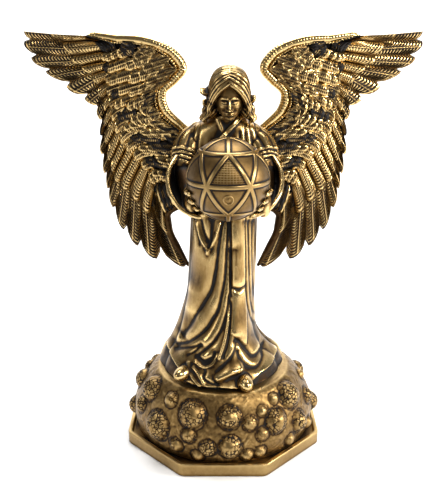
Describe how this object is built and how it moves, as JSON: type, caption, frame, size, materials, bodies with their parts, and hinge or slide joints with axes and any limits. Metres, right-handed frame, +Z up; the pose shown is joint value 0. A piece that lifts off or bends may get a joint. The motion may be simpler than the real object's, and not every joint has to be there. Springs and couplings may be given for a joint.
{
  "type": "winged figure statuette",
  "caption": "Cast brass souvenir statuette of a robed winged angel holding a banded globe, standing on a boulder mound and an octagonal plinth.",
  "frame": {"origin": "middle of the plinth's flat underside", "axes": "+Z up along the figure, the figure faces -Y, +X towards the viewer's right"},
  "size_m": [0.286, 0.1509, 0.3002],
  "materials": {
    "plinth_brass": "satin antique brass with dark patina in the recess",
    "mound_brass": "rough cast antique brass, dark patina between the boulders",
    "figure_brass": "polished antique brass, dark patina in the folds",
    "globe_brass": "polished antique brass, dark patina beside the bands",
    "wing_brass": "antique brass, dark patina between the feathers"
  },
  "bodies": {
    "root": {"plinth": "plinth_brass", "rocky_mound": "mound_brass", "angel": "figure_brass", "globe": "globe_brass", "left_wing": "wing_brass", "right_wing": "wing_brass"}
  },
  "joints": []
}
